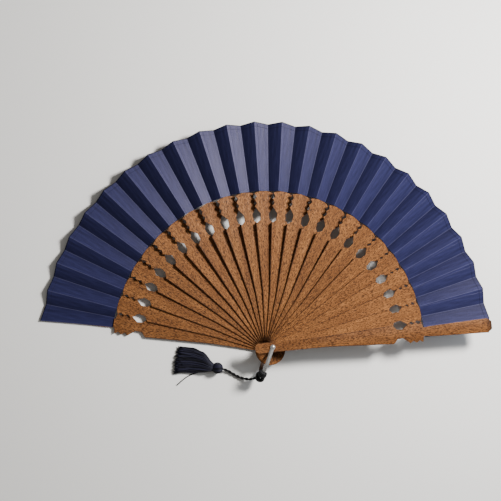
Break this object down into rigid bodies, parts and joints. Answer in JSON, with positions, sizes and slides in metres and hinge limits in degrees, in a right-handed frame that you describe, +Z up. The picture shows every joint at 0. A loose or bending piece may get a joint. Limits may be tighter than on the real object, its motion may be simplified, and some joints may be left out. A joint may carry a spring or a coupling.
{
  "type": "folding fan",
  "caption": "Pleated cloth folding fan with wooden ribs and guards on one rivet, a metal bail and a corded tassel; the sticks turn on the rivet and the cloth leaf folds between them.",
  "frame": {"origin": "foot of the rivet, on the rivet's axis, at the height of the surface that the open fan lies on", "axes": "+Z up along the rivet, from the rear guard to the front guard; +Y along the middle of the open leaf; the rear guard lies towards -X and the front guard towards +X"},
  "size_m": [0.4309, 0.2474, 0.0272],
  "materials": {
    "rib_wood": "open-pored, oiled",
    "guard_wood": "open-pored, polished",
    "leaf_cloth": "fine weave, slight sheen",
    "steel": "polished",
    "tassel_thread": "silky thread"
  },
  "bodies": {
    "rear_guard": {"rear_guard": "guard_wood", "leaf_pleat_01": "leaf_cloth", "rivet": "steel"},
    "rib_01": {"rib_01": "rib_wood", "leaf_pleat_02": "leaf_cloth"},
    "rib_02": {"rib_02": "rib_wood", "leaf_pleat_03": "leaf_cloth"},
    "rib_03": {"rib_03": "rib_wood", "leaf_pleat_04": "leaf_cloth"},
    "rib_04": {"rib_04": "rib_wood", "leaf_pleat_05": "leaf_cloth"},
    "rib_05": {"rib_05": "rib_wood", "leaf_pleat_06": "leaf_cloth"},
    "rib_06": {"rib_06": "rib_wood", "leaf_pleat_07": "leaf_cloth"},
    "rib_07": {"rib_07": "rib_wood", "leaf_pleat_08": "leaf_cloth"},
    "rib_08": {"rib_08": "rib_wood", "leaf_pleat_09": "leaf_cloth"},
    "rib_09": {"rib_09": "rib_wood", "leaf_pleat_10": "leaf_cloth"},
    "rib_10": {"rib_10": "rib_wood", "leaf_pleat_11": "leaf_cloth"},
    "rib_11": {"rib_11": "rib_wood", "leaf_pleat_12": "leaf_cloth"},
    "rib_12": {"rib_12": "rib_wood", "leaf_pleat_13": "leaf_cloth"},
    "rib_13": {"rib_13": "rib_wood", "leaf_pleat_14": "leaf_cloth"},
    "rib_14": {"rib_14": "rib_wood", "leaf_pleat_15": "leaf_cloth"},
    "rib_15": {"rib_15": "rib_wood", "leaf_pleat_16": "leaf_cloth"},
    "rib_16": {"rib_16": "rib_wood", "leaf_pleat_17": "leaf_cloth"},
    "rib_17": {"rib_17": "rib_wood", "leaf_pleat_18": "leaf_cloth"},
    "rib_18": {"rib_18": "rib_wood", "leaf_pleat_19": "leaf_cloth"},
    "rib_19": {"rib_19": "rib_wood", "leaf_pleat_20": "leaf_cloth"},
    "rib_20": {"rib_20": "rib_wood", "leaf_pleat_21": "leaf_cloth"},
    "rib_21": {"rib_21": "rib_wood", "leaf_pleat_22": "leaf_cloth"},
    "rib_22": {"rib_22": "rib_wood", "leaf_pleat_23": "leaf_cloth"},
    "front_guard": {"front_guard": "guard_wood", "leaf_end_panel": "leaf_cloth"},
    "bail": {"bail": "steel"},
    "tassel": {"tassel_knot": "tassel_thread", "tassel_cord": "tassel_thread", "tassel_ball": "tassel_thread", "tassel_skirt": "tassel_thread"}
  },
  "joints": [
    {"name": "rib_01_fold", "type": "hinge", "parent": "rear_guard", "child": "rib_01", "pos_m": [0, 0, 0.0135], "axis": [0, 0, 1], "range_deg": [0, 7.17], "deforming": ["leaf_pleat_01"]},
    {"name": "rib_02_fold", "type": "hinge", "parent": "rear_guard", "child": "rib_02", "pos_m": [0, 0, 0.0135], "axis": [0, 0, 1], "range_deg": [0, 14.34], "deforming": ["leaf_pleat_02"]},
    {"name": "rib_03_fold", "type": "hinge", "parent": "rear_guard", "child": "rib_03", "pos_m": [0, 0, 0.0135], "axis": [0, 0, 1], "range_deg": [0, 21.51], "deforming": ["leaf_pleat_03"]},
    {"name": "rib_04_fold", "type": "hinge", "parent": "rear_guard", "child": "rib_04", "pos_m": [0, 0, 0.0135], "axis": [0, 0, 1], "range_deg": [0, 28.68], "deforming": ["leaf_pleat_04"]},
    {"name": "rib_05_fold", "type": "hinge", "parent": "rear_guard", "child": "rib_05", "pos_m": [0, 0, 0.0135], "axis": [0, 0, 1], "range_deg": [0, 35.85], "deforming": ["leaf_pleat_05"]},
    {"name": "rib_06_fold", "type": "hinge", "parent": "rear_guard", "child": "rib_06", "pos_m": [0, 0, 0.0135], "axis": [0, 0, 1], "range_deg": [0, 43.02], "deforming": ["leaf_pleat_06"]},
    {"name": "rib_07_fold", "type": "hinge", "parent": "rear_guard", "child": "rib_07", "pos_m": [0, 0, 0.0135], "axis": [0, 0, 1], "range_deg": [0, 50.19], "deforming": ["leaf_pleat_07"]},
    {"name": "rib_08_fold", "type": "hinge", "parent": "rear_guard", "child": "rib_08", "pos_m": [0, 0, 0.0135], "axis": [0, 0, 1], "range_deg": [0, 57.36], "deforming": ["leaf_pleat_08"]},
    {"name": "rib_09_fold", "type": "hinge", "parent": "rear_guard", "child": "rib_09", "pos_m": [0, 0, 0.0135], "axis": [0, 0, 1], "range_deg": [0, 64.53], "deforming": ["leaf_pleat_09"]},
    {"name": "rib_10_fold", "type": "hinge", "parent": "rear_guard", "child": "rib_10", "pos_m": [0, 0, 0.0135], "axis": [0, 0, 1], "range_deg": [0, 71.7], "deforming": ["leaf_pleat_10"]},
    {"name": "rib_11_fold", "type": "hinge", "parent": "rear_guard", "child": "rib_11", "pos_m": [0, 0, 0.0135], "axis": [0, 0, 1], "range_deg": [0, 78.87], "deforming": ["leaf_pleat_11"]},
    {"name": "rib_12_fold", "type": "hinge", "parent": "rear_guard", "child": "rib_12", "pos_m": [0, 0, 0.0135], "axis": [0, 0, 1], "range_deg": [0, 86.04], "deforming": ["leaf_pleat_12"]},
    {"name": "rib_13_fold", "type": "hinge", "parent": "rear_guard", "child": "rib_13", "pos_m": [0, 0, 0.0135], "axis": [0, 0, 1], "range_deg": [0, 93.21], "deforming": ["leaf_pleat_13"]},
    {"name": "rib_14_fold", "type": "hinge", "parent": "rear_guard", "child": "rib_14", "pos_m": [0, 0, 0.0135], "axis": [0, 0, 1], "range_deg": [0, 100.38], "deforming": ["leaf_pleat_14"]},
    {"name": "rib_15_fold", "type": "hinge", "parent": "rear_guard", "child": "rib_15", "pos_m": [0, 0, 0.0135], "axis": [0, 0, 1], "range_deg": [0, 107.55], "deforming": ["leaf_pleat_15"]},
    {"name": "rib_16_fold", "type": "hinge", "parent": "rear_guard", "child": "rib_16", "pos_m": [0, 0, 0.0135], "axis": [0, 0, 1], "range_deg": [0, 114.72], "deforming": ["leaf_pleat_16"]},
    {"name": "rib_17_fold", "type": "hinge", "parent": "rear_guard", "child": "rib_17", "pos_m": [0, 0, 0.0135], "axis": [0, 0, 1], "range_deg": [0, 121.89], "deforming": ["leaf_pleat_17"]},
    {"name": "rib_18_fold", "type": "hinge", "parent": "rear_guard", "child": "rib_18", "pos_m": [0, 0, 0.0135], "axis": [0, 0, 1], "range_deg": [0, 129.06], "deforming": ["leaf_pleat_18"]},
    {"name": "rib_19_fold", "type": "hinge", "parent": "rear_guard", "child": "rib_19", "pos_m": [0, 0, 0.0135], "axis": [0, 0, 1], "range_deg": [0, 136.23], "deforming": ["leaf_pleat_19"]},
    {"name": "rib_20_fold", "type": "hinge", "parent": "rear_guard", "child": "rib_20", "pos_m": [0, 0, 0.0135], "axis": [0, 0, 1], "range_deg": [0, 143.4], "deforming": ["leaf_pleat_20"]},
    {"name": "rib_21_fold", "type": "hinge", "parent": "rear_guard", "child": "rib_21", "pos_m": [0, 0, 0.0135], "axis": [0, 0, 1], "range_deg": [0, 150.57], "deforming": ["leaf_pleat_21"]},
    {"name": "rib_22_fold", "type": "hinge", "parent": "rear_guard", "child": "rib_22", "pos_m": [0, 0, 0.0135], "axis": [0, 0, 1], "range_deg": [0, 157.74], "deforming": ["leaf_pleat_22"]},
    {"name": "fan_fold", "type": "hinge", "parent": "rear_guard", "child": "front_guard", "pos_m": [0, 0, 0.0135], "axis": [0, 0, 1], "range_deg": [0, 165.41], "deforming": ["leaf_pleat_23"]},
    {"name": "bail_swing", "type": "hinge", "parent": "rear_guard", "child": "bail", "pos_m": [0, 0, 0.0135], "axis": [0, 0, 1], "range_deg": [-1, 70]},
    {"name": "tassel_swing", "type": "hinge", "parent": "bail", "child": "tassel", "pos_m": [-0.00884, -0.0272, 0.0135], "axis": [0, 0, 1], "range_deg": [-1, 90]}
  ],
  "couplings": [
    {"joint": "rib_01_fold", "follows": "fan_fold", "ratio": 0.043346},
    {"joint": "rib_02_fold", "follows": "fan_fold", "ratio": 0.086693},
    {"joint": "rib_03_fold", "follows": "fan_fold", "ratio": 0.13004},
    {"joint": "rib_04_fold", "follows": "fan_fold", "ratio": 0.17339},
    {"joint": "rib_05_fold", "follows": "fan_fold", "ratio": 0.21673},
    {"joint": "rib_06_fold", "follows": "fan_fold", "ratio": 0.26008},
    {"joint": "rib_07_fold", "follows": "fan_fold", "ratio": 0.30343},
    {"joint": "rib_08_fold", "follows": "fan_fold", "ratio": 0.34677},
    {"joint": "rib_09_fold", "follows": "fan_fold", "ratio": 0.39012},
    {"joint": "rib_10_fold", "follows": "fan_fold", "ratio": 0.43347},
    {"joint": "rib_11_fold", "follows": "fan_fold", "ratio": 0.47681},
    {"joint": "rib_12_fold", "follows": "fan_fold", "ratio": 0.52016},
    {"joint": "rib_13_fold", "follows": "fan_fold", "ratio": 0.56351},
    {"joint": "rib_14_fold", "follows": "fan_fold", "ratio": 0.60686},
    {"joint": "rib_15_fold", "follows": "fan_fold", "ratio": 0.6502},
    {"joint": "rib_16_fold", "follows": "fan_fold", "ratio": 0.69355},
    {"joint": "rib_17_fold", "follows": "fan_fold", "ratio": 0.7369},
    {"joint": "rib_18_fold", "follows": "fan_fold", "ratio": 0.78024},
    {"joint": "rib_19_fold", "follows": "fan_fold", "ratio": 0.82359},
    {"joint": "rib_20_fold", "follows": "fan_fold", "ratio": 0.86694},
    {"joint": "rib_21_fold", "follows": "fan_fold", "ratio": 0.91028},
    {"joint": "rib_22_fold", "follows": "fan_fold", "ratio": 0.95363}
  ]
}
